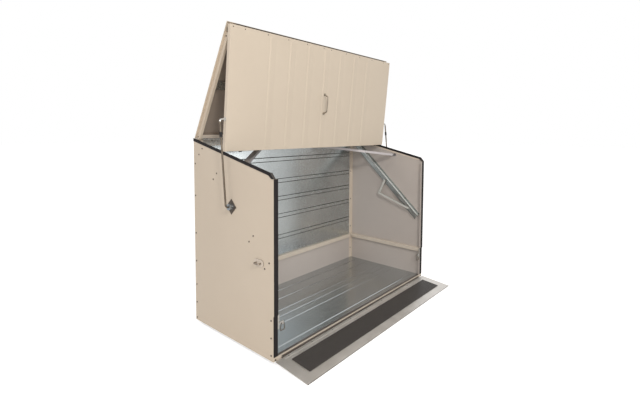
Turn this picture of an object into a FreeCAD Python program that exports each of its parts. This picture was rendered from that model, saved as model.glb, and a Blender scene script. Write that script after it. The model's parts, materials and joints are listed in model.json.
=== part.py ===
# Bicycle locker, standing open, in millimetres.
# Origin at the centre of the footprint on the ground, X to the right, Y to the back, Z up.
import FreeCAD, Part
import Sketcher
import os
import re
from math import cos, sin, radians, degrees, atan2

os.makedirs("parts", exist_ok=True)
doc = FreeCAD.newDocument("bicycle_locker")

# Driving dimensions
sizes = {
    # walls
    "half_width": 945, "half_depth": 430, "skin": 1.5, "wall_foot": 24,
    "rear_height": 1362, "front_height": 1165, "front_flange": 34, "flange_drop": 28,
    "step_height": 312, "flange_step": 5, "corner_cut": 30, "corner_piece": 16,
    "flange_lip": 14, "wall_hem": 14,
    # seals
    "seal_thick": 3, "top_seal_leg": 17, "front_seal_thick": 3.4, "seal_foot": 52,
    # floor, rails, posts
    "floor_height": 39, "floor_thick": 1.5, "rib_height": 4, "rib_width": 14, "ridge_inset": 65,
    "bearer_wide": 40, "bearer_inset": 45, "sill_rise": 5, "sill_return": 9,
    "rail_low": 269, "rail_tall": 35, "rail_deep": 25, "post_wide": 40, "post_deep": 14,
    "post_drop": 98, "post_thick": 2, "back_drop": 48, "top_rail_drop": 53, "swage_wide": 41,
    "swage_rise": 4,
    # roof hinge, sheet angles and linkage
    "pivot_inset": 21, "pivot_rise": -4, "barrel_radius": 4.5, "pin_radius": 2.5, "hinge_inset": 65,
    "knuckle_gap": 0.4, "leaf_thick": 1.5,
    "roof_open_angle": 117.82, "roof_travel": 74.76, "roof_side_over": 5, "roof_lip_over": 2.3,
    "reach_over": 3.7, "knuckle_drop": 14.6, "sheet_rise": 5, "roof_side_lip": 6,
    "channel_inset": 10, "channel_wide": 20, "roof_channel_deep": 33, "roof_rail_deep": 24,
    "front_rail_deep": 16,
    # front panel
    "panel_side_over": 5, "panel_tall": 834, "panel_gap": 9.4, "panel_deep": 28,
    "panel_tilt": 5.4, "pin_drop": 620, "pin_ahead": 14, "bottom_flange": 12,
    "rib_pitch": 195, "panel_rib_wide": 60, "panel_rib_rise": 3, "stiffener_deep": 10,
    "bumper_inset": 129, "rivet_first": 48, "rivet_pitch": 196.5, "rivet_edge": 20,
    "handle_drop": 470, "handle_half": 78, "handle_reach": 36, "handle_radius": 5,
    # stay rod and its pivot
    "stay_pivot_y": -18, "stay_pivot_z": 923, "rod_standoff": 45, "rod_radius": 6,
    "rod_bend": 16, "boss_radius": 21, "boss_long": 26, "plate_side": 73.5, "plate_thick": 3,
    "collar_share": 0.795, "collar_radius": 9, "collar_long": 34, "tip_standoff": 21,
    "running_gap": 0.4, "shaft_gap": 0.1,
    # staples for the user's padlocks
    "staple_y": -295, "staple_z": 610, "staple_reach": 33,
    # slotted channel on the inside of the walls, with places along it counted from the stay pivot
    "strut_angle": 43.18, "strut_offset": 8, "strut_below": 481, "strut_above": 511,
    "hat_box": 38, "hat_deep": 26, "hat_flange": 19, "hat_skin": 1.5,
    "slot_start": -383, "slot_end": -193, "slot_wide": 14, "bolt_across": 30,
    # balance gear
    "crank_long": 146, "crank_angle": -64.5, "slider_start": -365, "link_wide": 20,
    "bar_thick": 4, "cylinder_radius": 9, "cylinder_start": -183, "cylinder_end": -18,
    "strut_rod_radius": 4, "strut_rod_end": -171, "slider_half": 15,
    # straps across the rear corners
    "strap_wide": 40, "strap_thick": 2.5, "strap_leg": 20, "strap_front_y": -107, "strap_drop": 43,
    "strap_rear_x": 345, "strap_rear_drop": 76,
    # ramp, measured from its hinge down the slope
    "ramp_hinge_out": 2, "ramp_deep": 277.5, "ramp_slope": 5.6, "ramp_side_gap": 3, "ramp_drop": 4,
    "ramp_thick": 3, "ramp_lip": 6, "mat_near": 57, "mat_far": 211, "mat_margin": 89, "mat_thick": 5,
    "ramp_screw_pitch": 210,
    # drop rings
    "ring_x_inset": 75, "ring_half": 20, "ring_drop": 43, "ring_wire": 2.5, "ring_z": 243,
    # fasteners
    "screw_head": 5.5, "screw_rise": 3, "bolt_head": 4.5, "bolt_rise": 2, "edge_screw_inset": 18,
}
sheet = doc.addObject("Spreadsheet::Sheet", "Sizes")
for row, (alias, value) in enumerate(sizes.items(), start=1):
    sheet.set("A%d" % row, alias)
    sheet.set("B%d" % row, str(value))
    sheet.setAlias("B%d" % row, alias)
doc.recompute()
S = {alias: float(sheet.get(alias)) for alias in sizes}
WORD = re.compile(r"[A-Za-z_][A-Za-z_0-9]*")
pieces = []


def cells(text):
    """Turns each alias in an expression into a reference to its cell."""
    return WORD.sub(lambda m: "Sizes." + m.group(0) if m.group(0) in sizes else m.group(0), str(text))


def bind(obj, **expressions):
    for prop, text in expressions.items():
        obj.setExpression(prop.replace("__", "."), cells(text))
    return obj


def place(obj, x="0", y="0", z="0", turn=None, axis=(1, 0, 0)):
    """Moves an object, turned about an axis, by expressions."""
    if turn is not None:
        start = FreeCAD.Rotation(FreeCAD.Vector(*axis), 1)
        obj.Placement = FreeCAD.Placement(FreeCAD.Vector(), start)
        obj.setExpression("Placement.Rotation.Angle", cells(turn))
    return bind(obj, Placement__Base__x=x, Placement__Base__y=y, Placement__Base__z=z)


def box(x0, x1, y0, y1, z0, z1):
    obj = doc.addObject("Part::Box", "Box")
    bind(obj, Length="(%s)-(%s)" % (x1, x0))
    bind(obj, Width="(%s)-(%s)" % (y1, y0))
    bind(obj, Height="(%s)-(%s)" % (z1, z0))
    return place(obj, x0, y0, z0)


def rod(x0, x1, y, z, radius):
    """A cylinder along X."""
    obj = doc.addObject("Part::Cylinder", "Rod")
    bind(obj, Radius=radius, Height="(%s)-(%s)" % (x1, x0))
    return place(obj, x0, y, z, turn="90", axis=(0, 1, 0))


def stud(x, y, z, radius, height, turn="0"):
    """A cylinder that stands on a point, turned about X."""
    obj = bind(doc.addObject("Part::Cylinder", "Stud"), Radius=radius, Height=height)
    return place(obj, x, y, z, turn=turn)


def fuse(*shapes):
    obj = doc.addObject("Part::MultiFuse", "Fuse")
    obj.Shapes = list(shapes)
    return obj


def group(*shapes):
    obj = doc.addObject("Part::Compound", "Group")
    obj.Links = list(shapes)
    return obj


def cut(base, *tools):
    for tool in tools:
        obj = doc.addObject("Part::Cut", "Cut")
        obj.Base = base
        obj.Tool = tool
        base = obj
    return base


def node(label, obj):
    obj.Label = label
    pieces.append(obj)
    return obj


def feature(label, shape):
    obj = doc.addObject("Part::Feature", "Formed")
    obj.Shape = shape
    return node(label, obj)


def outer(side, inner, outward):
    """The X span of a piece between two distances from the middle, on one side."""
    return (inner, outward) if side > 0 else ("-(%s)" % outward, "-(%s)" % inner)


def both_ways(half):
    """The X span of a piece that is centred on the locker."""
    return "-(%s)" % half, "(%s)" % half


def profile_sketch(body, points):
    """A closed outline in the YZ plane, each corner held by two expressions."""
    sketch = body.newObject("Sketcher::SketchObject", "Profile")
    plane = [f for f in body.Origin.OriginFeatures if f.Role == "YZ_Plane"][0]
    sketch.AttachmentSupport = [(plane, "")]
    sketch.MapMode = "FlatFace"
    count = len(points)
    for i in range(count):
        a = FreeCAD.Vector(10.0 * cos(-i), 10.0 * sin(-i), 0)
        b = FreeCAD.Vector(10.0 * cos(-i - 1), 10.0 * sin(-i - 1), 0)
        sketch.addGeometry(Part.LineSegment(a, b), False)
    for i in range(count):
        sketch.addConstraint(Sketcher.Constraint("Coincident", i, 2, (i + 1) % count, 1))
    for i, (y, z) in enumerate(points):
        for kind, text in (("DistanceX", y), ("DistanceY", z)):
            index = sketch.addConstraint(Sketcher.Constraint(kind, -1, 1, i, 1, 5.0))
            sketch.setExpression("Constraints[%d]" % index, cells(text))
    return sketch


def plate(points, x0, thickness):
    """A padded outline: points are pairs of expressions in Y and Z, x0 its lower X."""
    body = doc.addObject("PartDesign::Body", "Body")
    sketch = profile_sketch(body, points)
    pad = body.newObject("PartDesign::Pad", "Pad")
    pad.Profile = sketch
    bind(pad, Length=thickness)
    body.Tip = pad
    return bind(body, Placement__Base__x=x0)


SIDES = (("left", -1), ("right", 1))
WALL_IN = "(half_width-skin)"
SLOPE = "((rear_height-front_height)/(2*half_depth))"
FLANGE_TOP = "(front_height-flange_drop)"
CUT_Y = "(-half_depth+corner_cut)"
FLANGE_Y = "(-half_depth+flange_step)"


def wall_top(y):
    return "(rear_height-(half_depth-(%s))*%s)" % (y, SLOPE)


# Side walls: folded sheet with a return flange at the front and at the back, and a hem along the top
HEM_FRONT = CUT_Y + "+18"
HEM_REAR = "(half_depth-150)"
for name, side in SIDES:
    x0, _ = outer(side, WALL_IN, "half_width")
    skin = plate([("half_depth", "wall_foot"), ("half_depth", "rear_height"),
                  (CUT_Y, wall_top(CUT_Y)), ("-half_depth", FLANGE_TOP),
                  ("-half_depth", "step_height"), (FLANGE_Y, "step_height-flange_step"),
                  (FLANGE_Y, "wall_foot")], x0, "skin")
    span = outer(side, "half_width-front_flange", "half_width-skin/2")
    upper = box(*span, "-half_depth", "-half_depth+skin", "step_height", FLANGE_TOP)
    lower = box(*span, FLANGE_Y, FLANGE_Y + "+skin", "wall_foot", "step_height-flange_step")
    back = box(*span, "half_depth-skin", "half_depth", "wall_foot", "rear_height-4")
    web = box(*span, "-half_depth", FLANGE_Y + "+skin", "step_height-flange_step", "step_height")
    lip = outer(side, "half_width-front_flange", "half_width-front_flange+skin")
    upper_lip = box(*lip, "-half_depth", "-half_depth+flange_lip", "step_height", FLANGE_TOP)
    lower_lip = box(*lip, FLANGE_Y, FLANGE_Y + "+flange_lip", "floor_height+1", "ring_z-30")
    hem_x, _ = outer(side, WALL_IN + "-skin", WALL_IN)
    hem = plate([(HEM_FRONT, wall_top(HEM_FRONT) + "-top_seal_leg"),
                 (HEM_REAR, wall_top(HEM_REAR) + "-top_seal_leg"),
                 (HEM_REAR, wall_top(HEM_REAR) + "-top_seal_leg-wall_hem"),
                 (HEM_FRONT, wall_top(HEM_FRONT) + "-top_seal_leg-wall_hem")], hem_x, "skin")
    hole = rod(*outer(side, "half_width-10", "half_width+10"), "stay_pivot_y", "stay_pivot_z",
               "rod_radius+1")
    node(name + "_side_wall",
         cut(fuse(skin, upper, lower, back, web, upper_lip, lower_lip, hem), hole))

# Rubber seals: over the sloping top edge and round the front corner, and on the front flange
INNER_Y = CUT_Y + "+15"
for name, side in SIDES:
    x0, _ = outer(side, WALL_IN + "-seal_thick", "half_width+seal_thick")
    band = plate([("half_depth", wall_top("half_depth") + "-top_seal_leg"),
                  ("half_depth", wall_top("half_depth") + "+seal_thick"),
                  (CUT_Y + "-seal_thick/2", wall_top(CUT_Y) + "+seal_thick"),
                  ("-half_depth-seal_thick", FLANGE_TOP + "+1"), ("-half_depth+18", FLANGE_TOP + "+1"),
                  (INNER_Y, wall_top(INNER_Y) + "-top_seal_leg")], x0, "skin+2*seal_thick")
    s0, _ = outer(side, WALL_IN, "half_width")
    slit = plate([("half_depth+1", FLANGE_TOP + "-10"), ("half_depth+1", wall_top("half_depth+1")),
                  (CUT_Y, wall_top(CUT_Y)), ("-half_depth", FLANGE_TOP),
                  ("-half_depth", FLANGE_TOP + "-10")], s0, "skin")
    relief = box(*outer(side, "half_width-front_flange-1", WALL_IN), "half_depth-skin-0.2",
                 "half_depth+1", "rear_height-top_seal_leg-10", "rear_height-3.8")
    cap_x, _ = outer(side, "half_width-corner_piece", WALL_IN + "-seal_thick")
    cap = plate([("-half_depth-seal_thick", FLANGE_TOP + "+1"),
                 (CUT_Y + "-seal_thick/2", wall_top(CUT_Y) + "+seal_thick"),
                 (CUT_Y + "+8", wall_top(CUT_Y) + "-12"), ("-half_depth+8", FLANGE_TOP + "+1")],
                cap_x, "corner_piece-skin-seal_thick")
    node(name + "_top_seal", fuse(cut(band, slit, relief), cap))
    span = outer(side, "half_width-front_flange", "half_width")
    upper = box(*span, "-half_depth-front_seal_thick", "-half_depth", "step_height-flange_step", FLANGE_TOP)
    lower = box(*span, FLANGE_Y + "-front_seal_thick", FLANGE_Y, "seal_foot",
                "step_height-flange_step-2")
    node(name + "_front_seal", group(upper, lower))

# Back wall: galvanised upper sheet with flat swages along it, painted lower sheet, rails and posts
BACK = "(half_depth-skin)"
BACK_IN = "(half_depth-2*skin)"
POST_IN = "(half_width-skin-post_wide)"
RAIL_MID = "rail_low+rail_tall/2"
SWAGE_DROPS = (191, 383, 541, 698, 888)
swages = [box(*both_ways(POST_IN + "-3"), BACK_IN + "-swage_rise", BACK_IN + "+0.5",
              "rear_height-%d-swage_wide/2" % drop, "rear_height-%d+swage_wide/2" % drop)
          for drop in SWAGE_DROPS]
upper_sheet = box(*both_ways(WALL_IN), BACK_IN, BACK, RAIL_MID, "rear_height-back_drop")
node("back_wall_upper", fuse(upper_sheet, *swages))
node("back_wall_lower", box(*both_ways(WALL_IN), BACK_IN, BACK, "floor_height", RAIL_MID))
node("back_mid_rail", box(*both_ways(POST_IN), BACK_IN + "-rail_deep", BACK_IN,
                          "rail_low", "rail_low+rail_tall"))
for name, side in SIDES:
    node(name + "_mid_rail", box(*outer(side, WALL_IN + "-rail_deep", WALL_IN),
                                 FLANGE_Y + "+skin+1", BACK_IN + "-post_deep",
                                 "rail_low", "rail_low+rail_tall"))
    face = box(*outer(side, POST_IN, WALL_IN), BACK_IN + "-post_thick", BACK_IN,
               "floor_height", "rear_height-post_drop")
    web = box(*outer(side, WALL_IN + "-post_thick", WALL_IN), BACK_IN + "-post_deep",
              BACK_IN + "-post_thick", "floor_height", "rear_height-post_drop")
    node(name + "_rear_post", fuse(face, web))
PIVOT_Y = "(half_depth-pivot_inset)"
PIVOT_Z = "(rear_height+pivot_rise)"
node("rear_top_rail", box(*both_ways(WALL_IN + "-seal_thick-1"), PIVOT_Y + "+barrel_radius+1",
                          BACK_IN, "rear_height-top_rail_drop", "rear_height-0.1"))

# Floor: pressed sheet with ridges along it on three bearers, with the sill at the front
FLOOR_Y = FLANGE_Y + "+skin"
RIDGES = (-338, -120, -35, 40, 200, 330)
floor = box(*both_ways(WALL_IN), FLOOR_Y, BACK, "floor_height-floor_thick", "floor_height")
ridges = [box(*both_ways("half_width-ridge_inset"), "%d-rib_width/2" % y, "%d+rib_width/2" % y,
              "floor_height-0.5", "floor_height+rib_height") for y in RIDGES]
node("floor_panel", fuse(floor, *ridges))
node("floor_bearers", group(*[
    box(*both_ways("half_width-bearer_inset"), y, y + "+bearer_wide", "0", "floor_height-floor_thick")
    for y in ("-half_depth+30", "-bearer_wide/2", "half_depth-60")]))
HINGE_Y = "(-half_depth-ramp_hinge_out)"
HINGE_Z = "(ramp_deep*sin(ramp_slope)+(ramp_drop+ramp_lip)*cos(ramp_slope))"
SILL = both_ways("half_width-front_flange-1")
SILL_TOP = "(floor_height+sill_rise)"
node("floor_sill", fuse(
    box(*SILL, HINGE_Y + "+6", FLOOR_Y, "0", SILL_TOP),
    box(*SILL, HINGE_Y + "+6", FLOOR_Y + "+sill_return", SILL_TOP + "-skin", SILL_TOP)))

# Angle straps from the side walls to the back wall
fall = (S["rear_height"] - S["front_height"]) / (2 * S["half_depth"])
front_top = S["rear_height"] - (S["half_depth"] - S["strap_front_y"]) * fall
REAR_Z = "rear_height-strap_rear_drop"
for name, side in SIDES:
    a = FreeCAD.Vector(side * (S["half_width"] - 19), S["strap_front_y"], front_top - S["strap_drop"])
    b = FreeCAD.Vector(side * S["strap_rear_x"], S["half_depth"] - 18,
                       S["rear_height"] - S["strap_rear_drop"])
    strap = bind(doc.addObject("Part::Box", "Strap"), Width="strap_wide", Height="strap_thick")
    strap.Length = (b - a).Length
    along = (b - a).normalize()
    across = FreeCAD.Vector(0, 0, 1).cross(along).normalize()
    turn = FreeCAD.Rotation(along, across, along.cross(across))
    strap.Placement = FreeCAD.Placement(a - across * (S["strap_wide"] / 2), turn)
    leg = bind(doc.addObject("Part::Box", "StrapLeg"), Width="strap_thick", Height="strap_leg")
    leg.Length = (b - a).Length - 30
    edge = across * (S["strap_wide"] / 2 - (S["strap_thick"] if side > 0 else 0)) * side
    up = along.cross(across)
    leg.Placement = FreeCAD.Placement(a + along * 12 + edge - up * (S["strap_leg"] - 1), turn)
    wall_z = wall_top("strap_front_y") + "-strap_drop"
    wall_tab = box(*outer(side, WALL_IN + "-4", WALL_IN), "strap_front_y-strap_wide/2",
                   "strap_front_y+strap_wide/2", wall_z + "-20", wall_z + "+6")
    wall_foot = box(*outer(side, "half_width-20", WALL_IN), "strap_front_y-15", "strap_front_y+15",
                    wall_z + "-2.5", wall_z + "+1")
    back_tab = box(*outer(side, "strap_rear_x-20", "strap_rear_x+20"), BACK_IN + "-3", BACK_IN,
                   REAR_Z + "-22", REAR_Z + "+6")
    back_foot = box(*outer(side, "strap_rear_x-15", "strap_rear_x+15"), "half_depth-26", BACK_IN,
                    REAR_Z + "-2", REAR_Z + "+3")
    node(name + "_corner_brace", fuse(strap, leg, wall_tab, wall_foot, back_tab, back_foot))


# Slotted channels for the balance gear, on the inside of the side walls
def on_strut(obj):
    """Turns a piece built along Y, from the stay pivot, so that it lies along the channel."""
    return place(obj, "0", "stay_pivot_y-strut_offset*sin(strut_angle)",
                 "stay_pivot_z+strut_offset*cos(strut_angle)", turn="strut_angle")


HAT_FACE = WALL_IN + "-hat_deep"
for name, side in SIDES:
    run = ("-strut_below", "strut_above")
    foot_span = outer(side, WALL_IN + "-hat_skin", WALL_IN)
    web_span = outer(side, HAT_FACE, WALL_IN)
    parts = [box(*outer(side, HAT_FACE, HAT_FACE + "+hat_skin"), *run, "-hat_box/2", "hat_box/2"),
             box(*foot_span, *run, "-hat_box/2-hat_flange", "-hat_box/2+hat_skin"),
             box(*foot_span, *run, "hat_box/2-hat_skin", "hat_box/2+hat_flange"),
             box(*web_span, *run, "-hat_box/2", "-hat_box/2+hat_skin"),
             box(*web_span, *run, "hat_box/2-hat_skin", "hat_box/2")]
    through = outer(side, HAT_FACE + "-2", HAT_FACE + "+hat_skin+2")
    slot = box(*through, "slot_start", "slot_end", "-slot_wide/2", "slot_wide/2")
    hub_hole = rod(*through, "0", "-strut_offset", "rod_radius+2")
    node(name + "_strut_channel", on_strut(cut(fuse(*parts), slot, hub_hole)))

# Diamond plates with the bosses that carry the stay rods
for name, side in SIDES:
    plate_span = outer(side, "half_width", "half_width+plate_thick")
    square = box(*plate_span, "-plate_side/2", "plate_side/2", "-plate_side/2", "plate_side/2")
    diamond = place(group(square), "0", "stay_pivot_y", "stay_pivot_z", turn="45")
    boss = rod(*outer(side, "half_width", "half_width+boss_long"), "stay_pivot_y", "stay_pivot_z",
               "boss_radius")
    bore = rod(*outer(side, "half_width-2", "half_width+boss_long+2"), "stay_pivot_y",
               "stay_pivot_z", "rod_radius+shaft_gap")
    node(name + "_pivot_plate", cut(fuse(diamond, boss), bore))


def tube_path(points, radius, bend):
    """A round bar along straight runs joined by arcs."""
    v = [FreeCAD.Vector(*p) for p in points]
    edges = []
    start = v[0]
    for i in range(1, len(v) - 1):
        a = (v[i - 1] - v[i]).normalize()
        b = (v[i + 1] - v[i]).normalize()
        half = a.getAngle(b) / 2
        back_off = bend / (sin(half) / cos(half))
        p = v[i] + a * back_off
        q = v[i] + b * back_off
        middle = v[i] + (a + b).normalize() * (bend / sin(half) - bend)
        edges.append(Part.LineSegment(start, p).toShape())
        edges.append(Part.Arc(p, middle, q).toShape())
        start = q
    edges.append(Part.LineSegment(start, v[-1]).toShape())
    ring = Part.Wire([Part.Circle(v[0], v[1] - v[0], radius).toShape()])
    return Part.Wire(edges).makePipeShell([ring], True, False)


# Staples for the user's padlocks: a long base with round ends and a bow of round bar
BASE_RADIUS, BASE_THICK, BASE_HALF = 22.5, 4, 22
BOW_HALF, BOW_RADIUS, BOW_BEND = 20, 5, 10
for name, side in SIDES:
    wall = side * S["half_width"]
    y, z = S["staple_y"], S["staple_z"]
    outward = FreeCAD.Vector(side, 0, 0)
    base = Part.makeBox(BASE_THICK, 2 * BASE_HALF, 2 * BASE_RADIUS,
                        FreeCAD.Vector(min(wall, wall + BASE_THICK * side), y - BASE_HALF, z - BASE_RADIUS))
    for end in (y - BASE_HALF, y + BASE_HALF):
        base = base.fuse(Part.makeCylinder(BASE_RADIUS, BASE_THICK, FreeCAD.Vector(wall, end, z), outward))
    far = wall + side * (S["staple_reach"] - BOW_RADIUS)
    bow = tube_path([(wall + side, y - BOW_HALF, z), (far, y - BOW_HALF, z),
                     (far, y + BOW_HALF, z), (wall + side, y + BOW_HALF, z)], BOW_RADIUS, BOW_BEND)
    feature(name + "_lock_staple", base.fuse(bow).removeSplitter())

# Long hinges: barrels cut into every second place, with a tongue from the leaf to each
COUNT = 9
HINGE_HALF = "(half_width-hinge_inset)"
PITCH = "(2*%s/%d)" % (HINGE_HALF, COUNT)


def hinge_places(even):
    for i in range(COUNT):
        if (i % 2 == 0) == even:
            yield ("-%s+%d*%s+knuckle_gap" % (HINGE_HALF, i, PITCH),
                   "-%s+%d*%s-knuckle_gap" % (HINGE_HALF, i + 1, PITCH))


def knuckles(even, y, z, radius):
    return [rod(low, high, y, z, radius) for low, high in hinge_places(even)]


def tongues(even, y0, y1, z0, z1):
    return [box(low, high, y0, y1, z0, z1) for low, high in hinge_places(even)]


def hinge_bore(y, z, radius):
    return rod(*both_ways(HINGE_HALF + "+10"), y, z, radius)


# Rear hinge: fixed leaf along the top of the rear rail, and the pins of both through hinges
LEAF_Y = (PIVOT_Y + "+barrel_radius-0.5", PIVOT_Y + "+barrel_radius+1")
fixed_leaf = box(*both_ways(HINGE_HALF), *LEAF_Y, "rear_height-back_drop", PIVOT_Z + "-barrel_radius-2")
fixed_tongues = tongues(True, PIVOT_Y + "+barrel_radius-1.5", LEAF_Y[1],
                        PIVOT_Z + "-barrel_radius-3", PIVOT_Z)
fixed_barrels = knuckles(True, PIVOT_Y, PIVOT_Z, "barrel_radius")
node("rear_hinge_leaf", cut(fuse(fixed_leaf, *fixed_tongues, *fixed_barrels),
                            hinge_bore(PIVOT_Y, PIVOT_Z, "pin_radius")))
PIN_SPAN = both_ways(HINGE_HALF + "+2")
node("hinge_pins", group(rod(*PIN_SPAN, PIVOT_Y, PIVOT_Z, "pin_radius"),
                         rod(*PIN_SPAN, HINGE_Y, HINGE_Z, "pin_radius")))

# Fixed part of the ramp hinge, on the sill
ramp_leaf = box(*both_ways(HINGE_HALF), HINGE_Y + "+barrel_radius-0.5", HINGE_Y + "+6",
                HINGE_Z + "-14", HINGE_Z + "+3")
clear = tongues(False, HINGE_Y + "-10", HINGE_Y + "+5", "0", HINGE_Z + "+20")
node("ramp_hinge_base", cut(fuse(ramp_leaf, *knuckles(True, HINGE_Y, HINGE_Z, "barrel_radius")),
                            *clear, hinge_bore(HINGE_Y, HINGE_Z, "pin_radius")))


# Roof: everything is built along the sheet from the rear hinge and then turned to the open pose
def on_roof(obj):
    return place(obj, "0", PIVOT_Y, PIVOT_Z, turn="roof_open_angle")


UNDER = "(-sheet_rise+skin)"
REACH = "(2*half_depth+reach_over)"
ROOF_END = "(%s+roof_lip_over)" % REACH
ROOF_HALF = "half_width+roof_side_over"
CHANNEL_OUT = "(half_width-channel_inset)"
CHANNEL_IN = "(half_width-channel_inset-channel_wide)"
roof_parts = [box(*both_ways(ROOF_HALF), "3.4", ROOF_END, "-sheet_rise", UNDER),
              box(*both_ways(ROOF_HALF), ROOF_END + "-skin", ROOF_END, "-sheet_rise", "knuckle_drop-10")]
for _, side in SIDES:
    roof_parts.append(box(*outer(side, ROOF_HALF + "-skin", ROOF_HALF), "6", ROOF_END,
                          "-sheet_rise", "-sheet_rise+roof_side_lip"))
node("roof_sheet", on_roof(fuse(*roof_parts)))
for name, side in SIDES:
    solid = box(*outer(side, CHANNEL_IN, CHANNEL_OUT), "12", REACH + "-64", UNDER,
                UNDER + "+roof_channel_deep")
    hollow = box(*outer(side, CHANNEL_IN + "-1", CHANNEL_OUT + "-2"), "11", REACH + "-63",
                 UNDER + "+2", UNDER + "+roof_channel_deep-2")
    node(name + "_roof_channel", on_roof(cut(solid, hollow)))


def roof_bar(label, y0, y1, deep):
    """A folded rail across the roof, open towards the sheet."""
    solid = box(*both_ways(CHANNEL_IN), y0, y1, UNDER, UNDER + "+%s" % deep)
    hollow = box(*both_ways(CHANNEL_IN + "+1"), "(%s)+2" % y0, "(%s)-2" % y1, UNDER + "-1",
                 UNDER + "+%s-2" % deep)
    return node(label, on_roof(cut(solid, hollow)))


roof_bar("roof_rear_rail", "18", "46", "roof_rail_deep")
roof_bar("roof_cross_brace", REACH + "/2-30", REACH + "/2+30", "roof_rail_deep")
roof_bar("roof_front_rail", REACH + "-46", REACH + "-8", "front_rail_deep")
rear_tongues = tongues(False, "1", "barrel_radius+2", UNDER, UNDER + "+leaf_thick")
rear_barrels = knuckles(False, "0", "0", "barrel_radius")
node("roof_rear_leaf", on_roof(cut(
    fuse(box(*both_ways(HINGE_HALF), "barrel_radius+1", "16", UNDER, UNDER + "+leaf_thick"),
         *rear_tongues, *rear_barrels), hinge_bore("0", "0", "pin_radius+shaft_gap"))))
FRONT_LEAF = REACH + "-barrel_radius"
node("roof_front_leaf", on_roof(fuse(
    box(*both_ways(HINGE_HALF), FRONT_LEAF, FRONT_LEAF + "+leaf_thick", UNDER,
        "knuckle_drop-barrel_radius-1.5"),
    *tongues(True, FRONT_LEAF, FRONT_LEAF + "+leaf_thick", "knuckle_drop-barrel_radius-2",
             "knuckle_drop"),
    *knuckles(True, REACH, "knuckle_drop", "barrel_radius"))))
node("roof_bolts", on_roof(group(*[
    rod(*outer(side, CHANNEL_OUT, CHANNEL_OUT + "+4"), y, "12", "screw_head")
    for _, side in SIDES for y in ("26", REACH + "-90")])))

# Front panel: built hanging from the hinge line of the roof's front edge, then tilted to the open pose
COS_R, SIN_R = "cos(roof_open_angle)", "sin(roof_open_angle)"
KNEE_Y = "(%s+%s*%s-knuckle_drop*%s)" % (PIVOT_Y, REACH, COS_R, SIN_R)
KNEE_Z = "(%s+%s*%s+knuckle_drop*%s)" % (PIVOT_Z, REACH, SIN_R, COS_R)


def on_panel(obj):
    return place(obj, "0", KNEE_Y, KNEE_Z, turn="panel_tilt")


PANEL_HALF = "(half_width+panel_side_over)"
TOP, LOW, FACE = "-panel_gap", "-panel_tall", "-panel_deep"
ACROSS = both_ways(PANEL_HALF)
HEM_DEEP = 22
panel_parts = [
    box(*ACROSS, FACE, FACE + "+skin", LOW, TOP),
    box(*ACROSS, FACE, "0", TOP + "-skin", TOP),
    box(*both_ways("half_width-50"), "-skin", "0", TOP + "-%d" % HEM_DEEP, TOP),
    box(*ACROSS, FACE, FACE + "+bottom_flange", LOW, LOW + "+skin")]
for _, side in SIDES:
    panel_parts.append(box(*outer(side, PANEL_HALF + "-skin", PANEL_HALF), FACE, "0", LOW, TOP))
for step in range(-3, 4):
    x = "%d*rib_pitch" % step
    panel_parts.append(box(x + "-panel_rib_wide/2", x + "+panel_rib_wide/2", FACE + "-panel_rib_rise",
                           FACE + "+0.5", LOW + "+14", TOP + "-30"))
pin_holes = [rod(*outer(side, PANEL_HALF + "-5", PANEL_HALF + "+5"), "-pin_ahead", "-pin_drop",
                 "rod_radius+shaft_gap") for _, side in SIDES]
node("front_panel_sheet", on_panel(cut(fuse(*panel_parts), *pin_holes)))
node("panel_hinge_leaf", on_panel(fuse(
    box(*both_ways(HINGE_HALF), "0", "leaf_thick", "-30", "-barrel_radius-1.5"),
    *tongues(False, "0", "leaf_thick", "-barrel_radius-2", "0"),
    *knuckles(False, "0", "0", "barrel_radius"))))
node("panel_stiffeners", on_panel(group(*[
    box(*both_ways(PANEL_HALF + "-60"), FACE + "+skin", FACE + "+skin+stiffener_deep", z, z + "+40")
    for z in ("-300", "-560", "-panel_tall+34")])))
rivet_x = ["%d*(rivet_first+%d*rivet_pitch)" % (side, step) for _, side in SIDES for step in range(5)]
rivet_x += ["%d*(%s-rivet_edge)" % (side, PANEL_HALF) for _, side in SIDES]
node("panel_rivets", on_panel(group(*[stud(x, FACE, "-24", "4", "1.6", "90") for x in rivet_x])))
bumpers = []
for _, side in SIDES:
    span = outer(side, PANEL_HALF + "-bumper_inset-12", PANEL_HALF + "-bumper_inset+12")
    bumpers.append(box(*span, FACE + "+2", FACE + "+10", LOW + "-6", LOW))
node("panel_bumpers", on_panel(group(*bumpers)))

# Bow handle on the middle rib of the front panel, with a round foot at each end
open_angle = radians(S["roof_open_angle"])
reach = 2 * S["half_depth"] + S["reach_over"]
pivot_y = S["half_depth"] - S["pivot_inset"]
pivot_z = S["rear_height"] + S["pivot_rise"]
knee = FreeCAD.Vector(0, pivot_y + reach * cos(open_angle) - S["knuckle_drop"] * sin(open_angle),
                      pivot_z + reach * sin(open_angle) + S["knuckle_drop"] * cos(open_angle))
foot = -S["panel_deep"] - S["panel_rib_rise"]
far = foot - S["handle_reach"]
FOOT_RADIUS, FOOT_THICK, SHOULDER, HANDLE_BEND = 11, 3, 18, 14
high, low = -S["handle_drop"] + S["handle_half"], -S["handle_drop"] - S["handle_half"]
bow = tube_path([(0, foot, high), (0, far, high - SHOULDER), (0, far, low + SHOULDER), (0, foot, low)],
                S["handle_radius"], HANDLE_BEND)
forward = FreeCAD.Vector(0, -1, 0)
for z in (high, low):
    bow = bow.fuse(Part.makeCylinder(FOOT_RADIUS, FOOT_THICK, FreeCAD.Vector(0, foot, z), forward))
behind_foot = Part.makeBox(60, 20, 4 * S["handle_half"], FreeCAD.Vector(-30, foot, low - S["handle_half"]))
handle = feature("handle_bow", bow.cut(behind_foot))
handle.Placement = FreeCAD.Placement(knee, FreeCAD.Rotation(FreeCAD.Vector(1, 0, 0), S["panel_tilt"]))

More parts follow.
